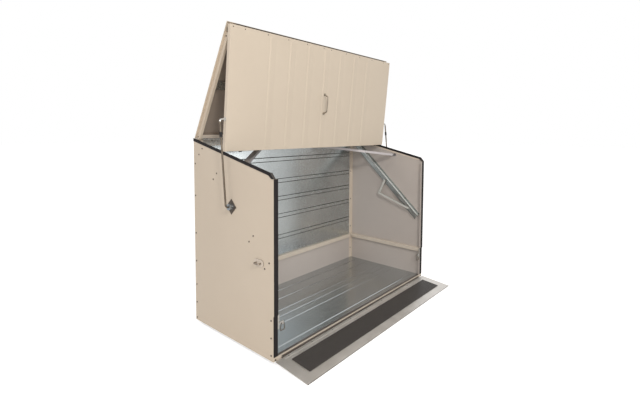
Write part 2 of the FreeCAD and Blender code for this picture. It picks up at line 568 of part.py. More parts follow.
# Stay rods with their shafts, collars and cranks, and the pins that carry the front panel
X_AXIS = FreeCAD.Vector(1, 0, 0)
tilt = radians(S["panel_tilt"])
pin_y = knee.y + S["pin_drop"] * sin(tilt) - S["pin_ahead"] * cos(tilt)
pin_z = knee.z - S["pin_drop"] * cos(tilt) - S["pin_ahead"] * sin(tilt)
tip = FreeCAD.Vector(0, pin_y, pin_z)
hub = FreeCAD.Vector(0, S["stay_pivot_y"], S["stay_pivot_z"])
along = (tip - hub).normalize()
crank_turn, strut_turn = radians(S["crank_angle"]), radians(S["strut_angle"])
crank_end = hub + FreeCAD.Vector(0, cos(crank_turn), sin(crank_turn)) * S["crank_long"]
strut_dir = FreeCAD.Vector(0, cos(strut_turn), sin(strut_turn))
strut_foot = hub + FreeCAD.Vector(0, -sin(strut_turn), cos(strut_turn)) * S["strut_offset"]
slider_at = strut_foot + strut_dir * S["slider_start"]
wall_in = S["half_width"] - S["skin"]
hat_face = wall_in - S["hat_deep"]
CRANK_GAP, CRANK_THICK, CRANK_WIDE, LINK_GAP, LINK_PIN = 5, 5, 24, 1.5, 4
crank_out = hat_face - CRANK_GAP
crank_in = crank_out - CRANK_THICK
link_out = crank_in - LINK_GAP
link_in = link_out - S["bar_thick"]


def bar(a, b, x0, x1, wide):
    """A flat bar with round ends between two points, from x0 to x1."""
    low, high = min(x0, x1), max(x0, x1)
    a = FreeCAD.Vector(low, a.y, a.z)
    b = FreeCAD.Vector(low, b.y, b.z)
    ends = [Part.makeCylinder(wide / 2, high - low, p, X_AXIS) for p in (a, b)]
    middle = Part.makeBox(high - low, (b - a).Length, wide, FreeCAD.Vector(0, 0, -wide / 2))
    angle = degrees(atan2(b.z - a.z, b.y - a.y))
    middle.Placement = FreeCAD.Placement(a, FreeCAD.Rotation(X_AXIS, angle))
    return middle.fuse(ends[0]).fuse(ends[1]).removeSplitter()


def pin(p, x0, x1, radius):
    return Part.makeCylinder(radius, abs(x1 - x0), FreeCAD.Vector(min(x0, x1), p.y, p.z), X_AXIS)


def stay_rod(side):
    """The round bar with its shaft through the wall, its collar and the crank on the shaft."""
    plane = side * (S["half_width"] + S["rod_standoff"])
    end = side * (S["half_width"] + S["tip_standoff"])
    bent = tube_path([(side * crank_in, hub.y, hub.z), (plane, hub.y, hub.z),
                      (plane, tip.y, tip.z), (end, tip.y, tip.z)], S["rod_radius"], S["rod_bend"])
    at = hub + (tip - hub) * S["collar_share"]
    at.x = plane
    collar = Part.makeCylinder(S["collar_radius"], S["collar_long"], at, along)
    collar = collar.cut(Part.makeCylinder(S["rod_radius"], S["collar_long"], at, along))
    crank = bar(hub, crank_end, side * crank_in, side * crank_out, CRANK_WIDE)
    beyond = (side * (crank_in - 1), side * (crank_out + 1))
    crank = crank.cut(pin(crank_end, *beyond, LINK_PIN + 0.3))
    crank = crank.cut(pin(hub, *beyond, S["rod_radius"]))
    return Part.makeCompound([bent, collar, crank])


def slider(side):
    """The block in the slotted channel with its stud and the rod of the gas strut."""
    half = S["slider_half"]
    thick = 2 * 8
    block = Part.makeBox(thick, 2 * half, 2 * half, FreeCAD.Vector(-thick / 2, -half, -half))
    block.Placement = FreeCAD.Placement(
        FreeCAD.Vector(side * (hat_face + 3 + thick / 2), slider_at.y, slider_at.z),
        FreeCAD.Rotation(X_AXIS, S["strut_angle"]))
    peg = pin(slider_at, side * (link_out + S["running_gap"]), side * (hat_face + 4), 5)
    start = slider_at + strut_dir * (half - 1)
    start.x = side * (hat_face + S["hat_deep"] / 2)
    long = S["strut_rod_end"] - S["slider_start"] - half + 1
    return block.fuse(peg).fuse(Part.makeCylinder(S["strut_rod_radius"], long, start, strut_dir))


def gas_cylinder(side):
    """The cylinder of the gas strut and the clip that holds it to the wall."""
    start = strut_foot + strut_dir * S["cylinder_start"]
    start.x = side * (hat_face + S["hat_deep"] / 2)
    long = S["cylinder_end"] - S["cylinder_start"]
    tube = Part.makeCylinder(S["cylinder_radius"], long, start, strut_dir)
    tube = tube.cut(Part.makeCylinder(S["strut_rod_radius"] + S["running_gap"], long - 5, start, strut_dir))
    inner, outward = abs(start.x), wall_in - 0.9
    clip = Part.makeBox(outward - inner, 12, 10, FreeCAD.Vector(0, -6, -5))
    clip_at = strut_foot + strut_dir * (S["cylinder_end"] - 20)
    clip_at.x = min(side * inner, side * outward)
    clip.Placement = FreeCAD.Placement(clip_at, FreeCAD.Rotation(X_AXIS, S["strut_angle"]))
    return [tube, clip.cut(Part.makeCylinder(S["cylinder_radius"], long, start, strut_dir))]


pins = []
cylinders = []
for name, side in SIDES:
    feature(name + "_stay_rod", stay_rod(side))
    link = bar(crank_end, slider_at, side * link_in, side * link_out, S["link_wide"])
    feature(name + "_link", link.fuse(pin(crank_end, side * link_in, side * (crank_out + 1.5), LINK_PIN)))
    feature(name + "_slider", slider(side))
    cylinders += gas_cylinder(side)
    panel_side = S["half_width"] + S["panel_side_over"]
    end = S["half_width"] + S["tip_standoff"] - S["running_gap"]
    shank = pin(tip, side * (panel_side - 10), side * end, S["rod_radius"])
    pins.append(shank.fuse(pin(tip, side * (panel_side + 0.4), side * (panel_side + 3), 12.5)))
feature("rod_end_pins", Part.makeCompound(pins))
feature("gas_cylinders", Part.makeCompound(cylinders))


# Ramp: folded plate with a rubber mat, sloping from the sill to the ground
def on_ramp(*shapes):
    return place(group(*shapes), "0", HINGE_Y, HINGE_Z, turn="ramp_slope")


RAMP_SPAN = both_ways("half_width-ramp_side_gap")
DECK = "-ramp_drop"
node("ramp_plate", on_ramp(fuse(
    box(*RAMP_SPAN, "-ramp_deep", "-8", DECK + "-ramp_thick", DECK),
    box(*RAMP_SPAN, "-ramp_deep", "-ramp_deep+ramp_thick", DECK + "-ramp_lip", DECK))))
node("ramp_mat", on_ramp(box(*both_ways("half_width-ramp_side_gap-mat_margin"), "-mat_far",
                             "-mat_near", DECK, DECK + "+mat_thick")))
moving_leaf = fuse(box(*both_ways(HINGE_HALF), "-26", "-5.5", DECK, DECK + "+leaf_thick"),
                   *tongues(False, "-7", "-2", DECK, DECK + "+leaf_thick"),
                   *knuckles(False, "0", "0", "barrel_radius"))
node("ramp_hinge_leaf", on_ramp(cut(moving_leaf, hinge_bore("0", "0", "pin_radius+shaft_gap"))))
node("ramp_screws", on_ramp(*[
    stud("%d*ramp_screw_pitch" % step, "-18", DECK + "+leaf_thick", "5", "1.5") for step in range(-4, 5)]))

# Drop rings beside the opening, each in the lug of a bracket behind the flange
RING_Y = "(%s+0.7)" % FLANGE_Y
brackets = []
for name, side in SIDES:
    middle = "half_width-ring_x_inset"
    foot = box(*outer(side, middle + "+25", middle + "+47"), FLANGE_Y + "+skin", FLANGE_Y + "+skin+3",
               "ring_z-28", "ring_z+62")
    arm = box(*outer(side, middle + "-6", middle + "+26"), RING_Y + "-4", RING_Y + "+3.8",
              "ring_z+6", "ring_z+16")
    lug = box(*outer(side, middle + "-6", middle + "+6"), RING_Y + "-4", RING_Y + "+3.8",
              "ring_z-6", "ring_z+7")
    eye = rod(*outer(side, middle + "-8", middle + "+8"), RING_Y, "ring_z", "ring_wire+running_gap")
    brackets.append(cut(fuse(foot, arm, lug), eye))
    x = side * (S["half_width"] - S["ring_x_inset"])
    y = -S["half_depth"] + S["flange_step"] + 0.7
    half, top, bottom = S["ring_half"] - S["ring_wire"], S["ring_z"], S["ring_z"] - S["ring_drop"]
    feature(name + "_catch_ring", tube_path(
        [(x, y, top), (x + half * 0.7, y, top), (x + half, y, bottom), (x - half, y, bottom),
         (x - half * 0.7, y, top), (x - 0.1, y, top)], S["ring_wire"], 4))
node("catch_brackets", group(*brackets))

# Screws and bolts in groups
REAR_SCREWS = (44, 160, 293, 468, 675, 950, 1181)
FRONT_SCREWS = (59, 168, 277)
CHANNEL_BOLTS = (-473, -268, 263, 501)
POST_BOLT_DROPS = (188, 376, 678, 978, 1218)
inner_heads = []
wall_screws = []
for _, side in SIDES:
    span = outer(side, "half_width", "half_width+screw_rise")
    for z in REAR_SCREWS:
        wall_screws.append(rod(*span, "half_depth-edge_screw_inset", "%d" % z, "screw_head"))
    for z in FRONT_SCREWS:
        wall_screws.append(rod(*span, "-half_depth+edge_screw_inset+7", "%d" % z, "screw_head"))
    for z in POST_BOLT_DROPS:
        wall_screws.append(stud("%d*(half_width-22)" % side, BACK_IN + "-post_thick",
                                "rear_height-%d" % z, "screw_head", "screw_rise", "90"))
    wall_screws.append(stud("%d*(half_width-15)" % side, FLANGE_Y, "wall_foot+10", "screw_head",
                            "screw_rise", "90"))
    for bolt in CHANNEL_BOLTS:
        for edge in ("-bolt_across", "bolt_across"):
            inner_heads.append(rod(*outer(side, WALL_IN + "-hat_skin-screw_rise", WALL_IN + "-hat_skin"),
                                   "%d" % bolt, edge, "screw_head"))
            across = "(%s+strut_offset)" % edge
            y = "stay_pivot_y+(%d)*cos(strut_angle)-%s*sin(strut_angle)" % (bolt, across)
            z = "stay_pivot_z+(%d)*sin(strut_angle)+%s*cos(strut_angle)" % (bolt, across)
            wall_screws.append(rod(*outer(side, "half_width", "half_width+bolt_rise"), y, z, "bolt_head"))
node("channel_screws", on_strut(group(*inner_heads)))
node("wall_screws", group(*wall_screws))

doc.recompute()
for obj in doc.Objects:
    if "Invalid" in obj.State or "Error" in obj.State:
        raise SystemExit("%s (%s) failed: %s" % (obj.Name, obj.Label, obj.State))
for obj in pieces:
    if obj.Shape.isNull() or not obj.Shape.isValid():
        raise SystemExit("%s has no valid shape" % obj.Label)
for obj in pieces:
    obj.Shape.exportStep("parts/%s.step" % obj.Label)
print(len(pieces), "nodes,", sum(len(obj.Shape.Solids) for obj in pieces), "solids")
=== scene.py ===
import json
from math import radians

import bmesh
import bpy
from mathutils import Matrix, Vector

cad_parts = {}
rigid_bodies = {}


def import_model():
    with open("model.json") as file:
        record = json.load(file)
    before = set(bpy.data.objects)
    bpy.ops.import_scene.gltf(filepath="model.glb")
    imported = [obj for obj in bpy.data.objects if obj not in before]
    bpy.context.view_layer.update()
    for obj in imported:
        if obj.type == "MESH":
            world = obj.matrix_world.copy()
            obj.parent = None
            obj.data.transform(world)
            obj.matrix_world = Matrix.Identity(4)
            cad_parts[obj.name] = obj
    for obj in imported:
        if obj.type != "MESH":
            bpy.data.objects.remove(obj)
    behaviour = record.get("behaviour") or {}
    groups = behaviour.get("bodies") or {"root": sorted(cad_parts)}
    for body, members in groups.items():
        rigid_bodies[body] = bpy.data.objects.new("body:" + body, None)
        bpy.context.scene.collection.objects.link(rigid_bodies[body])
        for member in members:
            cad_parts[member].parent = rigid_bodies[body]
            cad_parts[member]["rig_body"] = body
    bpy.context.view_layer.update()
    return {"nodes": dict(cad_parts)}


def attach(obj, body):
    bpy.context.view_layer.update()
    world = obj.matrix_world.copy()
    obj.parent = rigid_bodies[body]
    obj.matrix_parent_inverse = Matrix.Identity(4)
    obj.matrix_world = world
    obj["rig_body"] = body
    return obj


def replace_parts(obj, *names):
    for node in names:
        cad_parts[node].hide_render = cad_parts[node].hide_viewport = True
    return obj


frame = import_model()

nodes = frame["nodes"]
scene = bpy.context.scene
MM = 0.001

# Camera
# It stands left of the open front, a little above the roof hinge's height, and looks slightly down.
# The shift keeps the upright edges upright, as in the photograph.
FOCAL_PIXELS = 396.3
CENTRE_PIXEL = (332.3, 153.6)
PICTURE = (640, 400)
camera_data = bpy.data.cameras.new("camera")
camera_data.sensor_width = 36
camera_data.lens = FOCAL_PIXELS / PICTURE[0] * camera_data.sensor_width
camera_data.shift_x = (PICTURE[0] / 2 - CENTRE_PIXEL[0]) / PICTURE[0]
camera_data.shift_y = (CENTRE_PIXEL[1] - PICTURE[1] / 2) / PICTURE[0]
camera = bpy.data.objects.new("camera", camera_data)
scene.collection.objects.link(camera)
heading = Matrix.Rotation(radians(-50.02), 4, "Z") @ Matrix.Rotation(radians(-3.36), 4, "X")
camera.matrix_world = (Matrix.Translation((-2.4962, -2.1792, 1.4276)) @ heading
                       @ Matrix.Rotation(radians(-0.36), 4, "Y") @ Matrix.Rotation(radians(90), 4, "X"))
scene.camera = camera
scene.view_settings.view_transform = "Standard"


# Side walls
# Each is one folded steel sheet, 1.5 mm thick, with a return at the front and at the back.
# It is powder coated cream outside and comes out a greyer beige inside, where the coat is thin.
def add_node(owner, kind, settings=None, links=None):
    """Adds one shader node: settings are properties or socket values, links are (node, output)."""
    node = owner.node_tree.nodes.new(kind)
    for name, value in (settings or {}).items():
        if isinstance(name, int) or name in node.inputs:
            node.inputs[name].default_value = value
        else:
            setattr(node, name, value)
    for name, (source, output) in (links or {}).items():
        owner.node_tree.links.new(source.outputs[output], node.inputs[name])
    return node


def colour(code):
    """An sRGB hex colour as linear RGBA."""
    parts = [int(code[i:i + 2], 16) / 255 for i in (1, 3, 5)]
    return tuple(p / 12.92 if p <= 0.04045 else ((p + 0.055) / 1.055) ** 2.4 for p in parts) + (1.0,)


def new_material(name):
    """An empty material and its Texture Coordinate node."""
    material = bpy.data.materials.new(name)
    material.use_nodes = True
    material.node_tree.nodes.clear()
    return material, add_node(material, "ShaderNodeTexCoord")


def between(material, factor, dark, light):
    """Mixes two hex colours by a factor given as (node, output)."""
    return add_node(material, "ShaderNodeMix", {"data_type": "RGBA", 6: colour(dark), 7: colour(light)},
                    {0: factor})


def surface(material, tone, settings, links):
    """Ends a material with one surface shader."""
    shader = add_node(material, "ShaderNodeBsdfPrincipled", settings, {"Base Color": (tone, 2), **links})
    add_node(material, "ShaderNodeOutputMaterial", {}, {"Surface": (shader, 0)})
    return material


def powder_coat(name, dark, light, rough=0.42):
    """Polyester powder baked on steel: satin, a little cloudy in tone, with a fine orange peel."""
    material, place = new_material(name)
    # slow clouds of about 0.6 m from handling and weather
    cloud = add_node(material, "ShaderNodeTexNoise", {"Scale": 1.7, "Detail": 4.0, "Roughness": 0.6},
                     {"Vector": (place, "Object")})
    tone = between(material, (cloud, 0), dark, light)
    # orange peel with waves of 2 mm and 0.05 mm high
    peel = add_node(material, "ShaderNodeTexNoise", {"Scale": 1 / (2 * MM), "Detail": 1.0},
                    {"Vector": (place, "Object")})
    bump = add_node(material, "ShaderNodeBump", {"Strength": 0.25, "Distance": 0.05 * MM},
                    {"Height": (peel, 0)})
    worn = add_node(material, "ShaderNodeMapRange", {"To Min": rough - 0.05, "To Max": rough + 0.06},
                    {"Value": (cloud, 0)})
    return surface(material, tone, {"IOR": 1.5}, {"Normal": (bump, 0), "Roughness": (worn, 0)})


# Satin polyester, IOR 1.5: cream outside, greyed beige inside
CREAM = powder_coat("cream_powder_coat", "#CDBEAB", "#D6C8B5")
INNER = powder_coat("thin_beige_powder_coat", "#BBB2AB", "#C7BEB7", 0.34)


def start_from(*names):
    """The CAD pieces' mesh with its vertices merged and its flat triangles joined."""
    shape = bmesh.new()
    for name in names:
        shape.from_mesh(nodes[name].data)
    bmesh.ops.remove_doubles(shape, verts=shape.verts, dist=0.005 * MM)
    bmesh.ops.dissolve_limit(shape, angle_limit=radians(1), verts=shape.verts, edges=shape.edges)
    return shape


def cut(shape, at, normal):
    """Draws a line of edges across a mesh where a plane meets it."""
    every = shape.verts[:] + shape.edges[:] + shape.faces[:]
    bmesh.ops.bisect_plane(shape, geom=every, plane_co=at, plane_no=normal)


def ease(shape, radius, segments=2, above=40, pick=None):
    """Rounds the edges that turn by more than an angle, or those of them that pick chooses."""
    edges = [e for e in shape.edges if len(e.link_faces) == 2 and e.calc_face_angle() > radians(above)]
    bmesh.ops.bevel(shape, geom=[e for e in edges if pick is None or pick(e)], offset=radius,
                    offset_type="OFFSET", segments=segments, profile=0.5, affect="EDGES", material=-1,
                    clamp_overlap=True)
    return shape


def paint(shape, index, test):
    """Gives a material to the faces that test chooses by centre and normal."""
    shape.normal_update()
    for face in shape.faces:
        if test(face.calc_center_median(), face.normal):
            face.material_index = index


def settle(name, shape, materials, *stands_for, sharp=40):
    """Makes the object, shades it, and lets it ride where the CAD pieces it stands for do."""
    mesh = bpy.data.meshes.new(name)
    shape.to_mesh(mesh)
    shape.free()
    for material in materials:
        mesh.materials.append(material)
    mesh.shade_smooth()
    mesh.set_sharp_from_angle(angle=radians(sharp))
    obj = bpy.data.objects.new(name, mesh)
    scene.collection.objects.link(obj)
    obj.modifiers.new("weighted_normals", "WEIGHTED_NORMAL").keep_sharp = True
    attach(obj, nodes[stands_for[0]]["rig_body"])
    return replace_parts(obj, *stands_for)


# The light beige coat of the hems, rails and posts
LIGHT = powder_coat("light_beige_powder_coat", "#CFC2B2", "#DCD0C1")
SIDES = (("left", -1), ("right", 1))
for name, side in SIDES:
    wall = start_from(name + "_side_wall")
    # the front and back folds have an outer radius of 3 mm
    ease(wall, 3 * MM, 3, pick=lambda e: all(abs(abs(v.co.x) - 0.945) < 0.1 * MM for v in e.verts)
         and abs(e.verts[0].co.z - e.verts[1].co.z) > 0.1)
    ease(wall, 0.4 * MM)
    paint(wall, 1, lambda c, n: n.x * side < -0.5)
    # the hems double the sheet along its edges, so their face is at 942 mm; their inner faces are painted
    # the light beige, lighter than the rest of the inside
    paint(wall, 2, lambda c, n: n.x * side < -0.5 and 941.5 * MM < abs(c.x) < 942.5 * MM)
    settle(name + "_wall_sheet", wall, (CREAM, INNER, LIGHT), name + "_side_wall")


# Seals
# A rubber strip is pushed over the sloping top edge and round its front corner, with a moulded end.
# A second strip, slightly bulged, is stuck to the front return and stops at the catch.
def rubber(name, dark, light, rough):
    """Extruded rubber: matt, with dust in its pores."""
    material, place = new_material(name)
    # dust in patches of about 15 mm, and pores of 0.5 mm
    dust = add_node(material, "ShaderNodeTexNoise", {"Scale": 65.0, "Detail": 5.0},
                    {"Vector": (place, "Object")})
    pores = add_node(material, "ShaderNodeTexNoise", {"Scale": 1 / (0.5 * MM), "Detail": 2.0},
                     {"Vector": (place, "Object")})
    tone = between(material, (dust, 0), dark, light)
    bump = add_node(material, "ShaderNodeBump", {"Strength": 0.3, "Distance": 0.1 * MM},
                    {"Height": (pores, 0)})
    return surface(material, tone, {"Roughness": rough, "IOR": 1.52, "Specular IOR Level": 0.2},
                   {"Normal": (bump, 0)})


# Black extruded rubber, IOR 1.52, browned by dust
SEAL = rubber("black_seal_rubber", "#1D1A1B", "#272324", 0.62)


def worked(name, radius, materials, segments=2):
    """A CAD piece with its edges rounded, as the piece that is shown."""
    return settle(name + "_look", ease(start_from(name), radius, segments), materials, name)


# The moulded end at the front corner is a greyer rubber, rubbed by the lid
RUBBED = rubber("rubbed_grey_rubber", "#3E3A37", "#504B47", 0.5)
for name, side in SIDES:
    band = ease(start_from(name + "_top_seal"), 1.2 * MM, 3)
    paint(band, 1, lambda c, n: c.y < -399 * MM and n.y < -0.3 and n.z > 0.3)
    settle(name + "_edge_strip", band, (SEAL, RUBBED), name + "_top_seal")
    worked(name + "_front_seal", 1.4 * MM, (SEAL,), 3)


# Floor bearers
# Three folded galvanised channels that the floor lies on, standing on the ground.
# They are cut from strip, folded and spot welded, so their edges are only broken.
def zinc_coat(name, dark, light, low, high, grain, shine=1.0):
    """Hot-dip zinc on sheet steel: flat crystals, each a little lighter or rougher than the next."""
    material, place = new_material(name)
    spangle = add_node(material, "ShaderNodeTexVoronoi", {"Scale": 1 / grain},
                       {"Vector": (place, "Object")})
    split = add_node(material, "ShaderNodeSeparateColor", {}, {"Color": (spangle, "Color")})
    # smears of about 0.3 m from the rolls
    cloud = add_node(material, "ShaderNodeTexNoise", {"Scale": 3.0, "Detail": 4.0},
                     {"Vector": (place, "Object")})
    mixed = add_node(material, "ShaderNodeMath", {"operation": "MULTIPLY_ADD", 1: 0.2},
                     {0: (split, "Red"), 2: (cloud, 0)})
    tone = between(material, (mixed, 0), dark, light)
    rough = add_node(material, "ShaderNodeMapRange", {"To Min": low, "To Max": high},
                     {"Value": (split, "Green")})
    return surface(material, tone, {"Metallic": shine}, {"Roughness": (rough, 0)})


# Galvanised sheet, metal, with crystals 8 mm across and nearly as smooth as the rolls left it
ZINC = zinc_coat("galvanised_sheet", "#B4BABB", "#D2D7D8", 0.2, 0.28, 8 * MM)
# The same sheet made darker, as painted shade in its folds
PAINTED_SHADE_ZINC = zinc_coat("painted_shade_zinc_fold", "#4F5250", "#6C6F6C", 0.42, 0.52, 8 * MM)
worked("floor_bearers", 1.5 * MM, (ZINC,))


# Floor panel
# One galvanised sheet, laid on the bearers, with six stiffening ridges rolled along it.
# The ridges stop short of the walls and have rounded flanks.
def pressed_sheet(low, high, ribs, flank, rise, lean=0):
    """A flat sheet in XY with closed ribs pressed up, each (x0, x1, y0, y1); lean widens one flank."""
    shape = bmesh.new()
    bmesh.ops.create_grid(shape, x_segments=1, y_segments=1, size=0.5)
    bmesh.ops.translate(shape, verts=shape.verts, vec=(0.5, 0.5, 0))
    bmesh.ops.scale(shape, verts=shape.verts, vec=(high[0] - low[0], high[1] - low[1], 1))
    bmesh.ops.translate(shape, verts=shape.verts, vec=(low[0], low[1], 0))
    for axis in (0, 1):
        normal = (1 - axis, axis, 0)
        for value in sorted({v for rib in ribs for v in rib[2 * axis:2 * axis + 2]}):
            cut(shape, Vector(normal) * value, normal)
    for x0, x1, y0, y1 in ribs:
        inside = [f for f in shape.faces if x0 < f.calc_center_median().x < x1
                  and y0 < f.calc_center_median().y < y1]
        bmesh.ops.inset_region(shape, faces=inside, thickness=flank, use_even_offset=True)
        bmesh.ops.translate(shape, verts=list({v for f in inside for v in f.verts}), vec=(0, 0, rise))
        far = {v for f in inside for v in f.verts if v.co.x > (x0 + x1) / 2}
        bmesh.ops.translate(shape, verts=list(far), vec=(-lean, 0, 0))
    return shape


def thicken(shape, thick):
    """Gives a sheet its thickness on the side away from its normals."""
    bmesh.ops.solidify(shape, geom=shape.faces[:], thickness=thick)
    bmesh.ops.recalc_face_normals(shape, faces=shape.faces)
    return shape


RIDGES = (-338, -120, -35, 40, 200, 330)
HINGE_REFLECTION_TO = -389 * MM
floor = pressed_sheet((-943.5 * MM, -423.5 * MM), (943.5 * MM, 428.5 * MM),
                      [(-880 * MM, 880 * MM, (y - 7) * MM, (y + 7) * MM) for y in RIDGES], 4 * MM, 4 * MM)
ease(floor, 1.2 * MM, 2, 5)
cut(floor, (0, HINGE_REFLECTION_TO, 0), (0, 1, 0))
thicken(floor, 1.5 * MM)
bmesh.ops.translate(floor, verts=floor.verts, vec=(0, 0, 39 * MM))
# Trodden galvanised sheet: a little darker and smoother than the walls' sheet
TRODDEN = zinc_coat("trodden_galvanised_sheet", "#B9BEC0", "#C3C8CA", 0.24, 0.27, 8 * MM)
# A painted reflection of the dark hinge along the sill, a strip 35 mm wide, in patches of 30 mm
PAINTED_HINGE_REFLECTION = zinc_coat("painted_hinge_reflection_zinc", "#3F3633", "#8A847F", 0.4, 0.6, 30 * MM, 0.5)
# the strip behind the sill gets the painted reflection of the hinge
paint(floor, 1, lambda c, n: c.y < HINGE_REFLECTION_TO)
settle("floor_sheet", floor, (TRODDEN, PAINTED_HINGE_REFLECTION), "floor_panel", sharp=60)

# Floor sill
# A folded strip along the front that the ramp's hinge is fixed to.
# It is powder coated a light beige and its folds have a radius of 1 mm.
worked("floor_sill", 0.6 * MM, (LIGHT,))

# Back wall
# The upper sheet is galvanised and has five flat swages rolled in for stiffness, 41 mm wide.
# The lower sheet is plain and powder coated; both are riveted behind the middle rail.
swages = [(-900 * MM, 900 * MM, (z - 20.5) * MM, (z + 20.5) * MM) for z in (1171, 979, 821, 664, 474)]
back = pressed_sheet((-943.5 * MM, 286.5 * MM), (943.5 * MM, 1314 * MM), swages, 6 * MM, 4 * MM)
ease(back, 1 * MM, 2, 5)
thicken(back, 1.5 * MM)
upright = Matrix(((1, 0, 0, 0), (0, 0, -1, 427 * MM), (0, 1, 0, 0), (0, 0, 0, 1)))
bmesh.ops.transform(back, verts=back.verts, matrix=upright)
# painted shade on the swages' flanks, which face up and down
paint(back, 1, lambda c, n: abs(n.z) > 0.3 and 300 * MM < c.z < 1310 * MM and abs(c.x) < 905 * MM)
settle("back_wall_sheet", back, (ZINC, PAINTED_SHADE_ZINC), "back_wall_upper", sharp=60)
worked("back_wall_lower", 0.4 * MM, (INNER,))

# Middle rails
# Light beige box rails that run round the inside at knee height and keep handlebars off the sheets.
# They are folded from strip with a radius of 2 mm and screwed through the walls.
for name in ("left_mid_rail", "right_mid_rail", "back_mid_rail"):
    worked(name, 2 * MM, (LIGHT,), 3)

# Rear posts and top rail
# Narrow folded angles join the side walls to the back wall, and a deep rail closes the top.
# They are bolted from inside and powder coated light beige.
for name in ("left_rear_post", "right_rear_post"):
    worked(name, 0.6 * MM, (LIGHT,))
worked("rear_top_rail", 2 * MM, (LIGHT,), 3)

# Corner braces
# Flat zinc plated straps run from the side walls to the back wall and stop the corners racking.
# Each is a strip with a bent foot at both ends, bolted through.
def plated(name, dark, light, rough):
    """Bright electroplated zinc: smooth, with a faint drift in tone and polish."""
    material, place = new_material(name)
    # drifts of about 40 mm
    drift = add_node(material, "ShaderNodeTexNoise", {"Scale": 25.0, "Detail": 3.0},
                     {"Vector": (place, "Object")})
    tone = between(material, (drift, 0), dark, light)
    polish = add_node(material, "ShaderNodeMapRange", {"To Min": rough - 0.06, "To Max": rough + 0.08},
                      {"Value": (drift, 0)})
    return surface(material, tone, {"Metallic": 1.0}, {"Roughness": (polish, 0)})


# Whitened zinc on the straps, and bright zinc plate on the small parts, metal
PALE = plated("whitened_zinc_plate", "#A9A4A4", "#C0BBBB", 0.5)
PLATED = plated("bright_zinc_plate", "#BDBAB5", "#DAD8D3", 0.26)
for name in ("left_corner_brace", "right_corner_brace"):
    worked(name, 0.5 * MM, (PALE,))

# Slotted channels
# Galvanised top-hat channels, one inside each side wall, that the balance gear slides in.
# They are rolled from strip, slotted, and bolted through the wall in four places.

# Galvanised strip, metal, with crystals 5 mm across
STRIP = zinc_coat("galvanised_strip", "#B2B5B4", "#D0D3D1", 0.28, 0.36, 5 * MM)
# Painted highlight: the upper side, facing front and up, is painted nearly white. Painted shade: the flanges
# against the wall are painted darker.
PAINTED_HIGHLIGHT_STRIP = zinc_coat("painted_highlight_zinc_strip", "#E6E9E7", "#F8FAF8", 0.24, 0.32, 5 * MM, 0.4)
PAINTED_SHADE_STRIP = zinc_coat("painted_shade_zinc_strip", "#858986", "#A0A4A1", 0.36, 0.46, 5 * MM)
# across the channel, towards the front and up
FRONT_UP = Vector((0, -0.683, 0.73))
for name in ("left_strut_channel", "right_strut_channel"):
    strip = ease(start_from(name), 0.6 * MM)
    # painted shade on both flanges, then a painted highlight on the side that faces front and up
    paint(strip, 2, lambda c, n: abs(c.x) > 941.2 * MM)
    paint(strip, 1, lambda c, n: n.dot(FRONT_UP) > 0.7)
    settle(name + "_strip", strip, (STRIP, PAINTED_HIGHLIGHT_STRIP, PAINTED_SHADE_STRIP), name)

# Pivot plates
# A diamond of steel plate with a turned boss is bolted to the outside of each side wall.
# The plate keeps its dark hot-rolled skin and the boss is zinc plated and passivated blue.

# Hot-rolled mill scale over steel: dark, half metal
SCALE = zinc_coat("hot_rolled_plate", "#554D46", "#6D645B", 0.4, 0.55, 3 * MM, 0.7)
# Blue passivated zinc on the boss, metal
BLUED = plated("blue_passivated_zinc", "#99A1A9", "#C2C9D0", 0.3)
for name, side in SIDES:
    plate = ease(start_from(name + "_pivot_plate"), 0.6 * MM)
    paint(plate, 1, lambda c, n: abs(c.x) > 948.1 * MM)
    settle(name + "_pivot_diamond", plate, (SCALE, BLUED), name + "_pivot_plate")

# Lock staples
# A flat base with round ends carries a bow of round bar for the user's own padlock.
# It is bent, welded and powder coated light beige, then riveted through the wall.

# Brown-grey bare steel, metal, where a padlock has rubbed the coat off the bow; the rim's side faces get it
# too, as painted shade
RUBBED_STEEL_AND_SHADE = plated("rubbed_steel_and_painted_shade", "#857B70", "#A79C90", 0.35)
for name in ("left_lock_staple", "right_lock_staple"):
    staple = ease(start_from(name), 0.8 * MM, 3)
    # the bow is rubbed bare, and the rim's side faces are painted dark as painted shade
    paint(staple, 1, lambda c, n: abs(c.x) > 949.2 * MM or abs(n.x) < 0.5)
    settle(name + "_bow", staple, (LIGHT, RUBBED_STEEL_AND_SHADE), name)

# Rear hinge
# A continuous hinge: leaves of strip with rolled knuckles and one through pin of 5 mm.
# The roof turns on it; the ramp's pin is of the same kind and belongs to the same set.
worked("rear_hinge_leaf", 0.3 * MM, (PLATED,))
worked("roof_rear_leaf", 0.3 * MM, (PLATED,))
worked("hinge_pins", 0.4 * MM, (PLATED,))

# Roof
# A folded tray of powder coated sheet with a lip on three sides, cream outside.
# Underneath it is painted a darker grey-brown as painted shade; side channels, rails and a zinc brace
# stiffen it.

# Matt grey-brown, IOR 1.5: painted shade on the roof's underside and on the rear rail's upper face
PAINTED_SHADE_BROWN = powder_coat("painted_shade_grey_brown", "#8A7D71", "#9F9184", 0.55)
SHADE_HALF_WIDTH = 900 * MM
# the open roof's lean about its hinge
roof_turn = Matrix.Rotation(radians(117.82), 3, "X")
outward = roof_turn @ Vector((0, 0, -1))
roof = start_from("roof_sheet")
ease(roof, 0.5 * MM)
for side in (-1, 1):
    cut(roof, (side * SHADE_HALF_WIDTH, 0, 0), (1, 0, 0))
